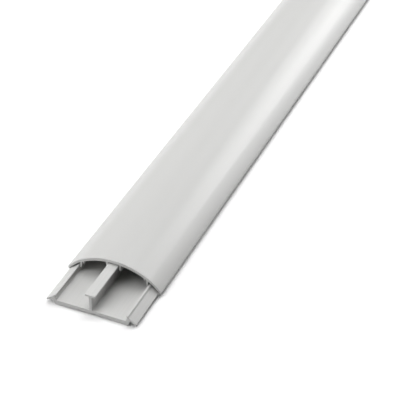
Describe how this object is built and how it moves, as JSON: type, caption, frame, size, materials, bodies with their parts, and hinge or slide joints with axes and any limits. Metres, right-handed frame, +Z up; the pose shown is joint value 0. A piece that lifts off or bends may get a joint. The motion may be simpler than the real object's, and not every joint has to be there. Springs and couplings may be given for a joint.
{
  "type": "floor cord cover",
  "caption": "Low arched floor trunking with a clip-on cover over a flanged base split into two cable channels by a T-shaped divider.",
  "frame": {"origin": "on the floor, under the middle of the object's overall box", "axes": "+X across the cover, +Y along its length towards the far end, +Z up from the floor"},
  "size_m": [0.05, 1.0246, 0.0144],
  "materials": {
    "base": "extruded PVC, smooth, matte, light warm grey",
    "cover": "extruded PVC, smooth, satin, light warm grey"
  },
  "bodies": {
    "root": {"base_channel": "base", "clip_on_cover": "cover"}
  },
  "joints": []
}
